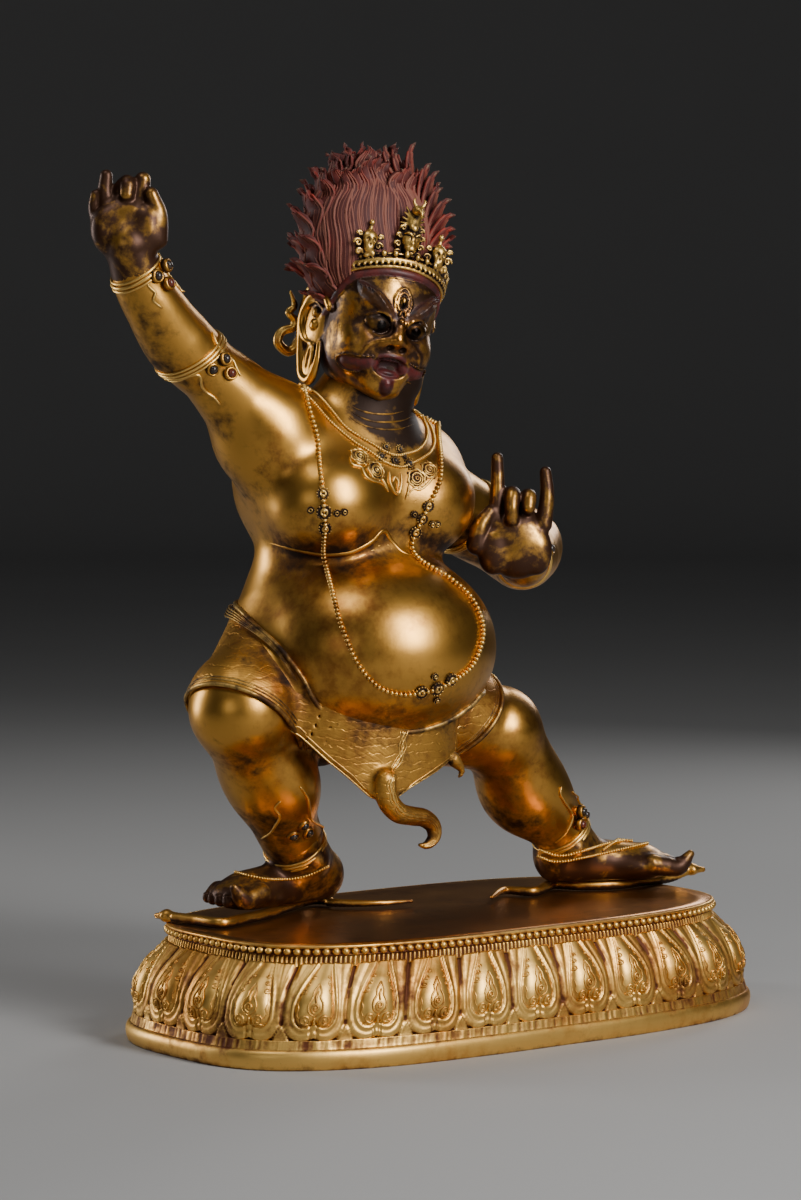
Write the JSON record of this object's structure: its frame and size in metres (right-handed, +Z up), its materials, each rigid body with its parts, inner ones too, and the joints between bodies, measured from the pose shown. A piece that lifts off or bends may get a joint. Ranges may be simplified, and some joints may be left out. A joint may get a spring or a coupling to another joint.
{
  "type": "vajrapani statue",
  "caption": "Gilt bronze wrathful protector with red flame hair, striding over snakes on an oval lotus plinth, dark worn patina.",
  "frame": {"origin": "middle of the plinth's flat underside, on the surface it stands on", "axes": "+Z up, figure faces -Y, its right side on -X"},
  "size_m": [0.5776, 0.2852, 0.6883],
  "materials": {
    "gilt_bronze": "satin",
    "plinth_gilt": "satin",
    "red_hair": "matte",
    "crown_gilt": "satin",
    "snake_gilt": "satin",
    "inlay_stone": "polished"
  },
  "bodies": {
    "root": {"plinth": "plinth_gilt", "figure": "gilt_bronze", "flame_hair": "red_hair", "crown": "crown_gilt", "snake_under_right_foot": "snake_gilt", "snake_under_left_foot": "snake_gilt", "stone_right_wrist_1": "inlay_stone", "stone_right_wrist_2": "inlay_stone", "stone_right_wrist_3": "inlay_stone", "stone_right_arm_1": "inlay_stone", "stone_right_arm_2": "inlay_stone", "stone_right_arm_3": "inlay_stone", "stone_left_wrist": "inlay_stone", "stone_right_ankle_1": "inlay_stone", "stone_right_ankle_2": "inlay_stone", "stone_right_ankle_3": "inlay_stone", "stone_left_ankle_1": "inlay_stone", "stone_left_ankle_2": "inlay_stone", "stone_left_ankle_3": "inlay_stone"}
  },
  "joints": []
}
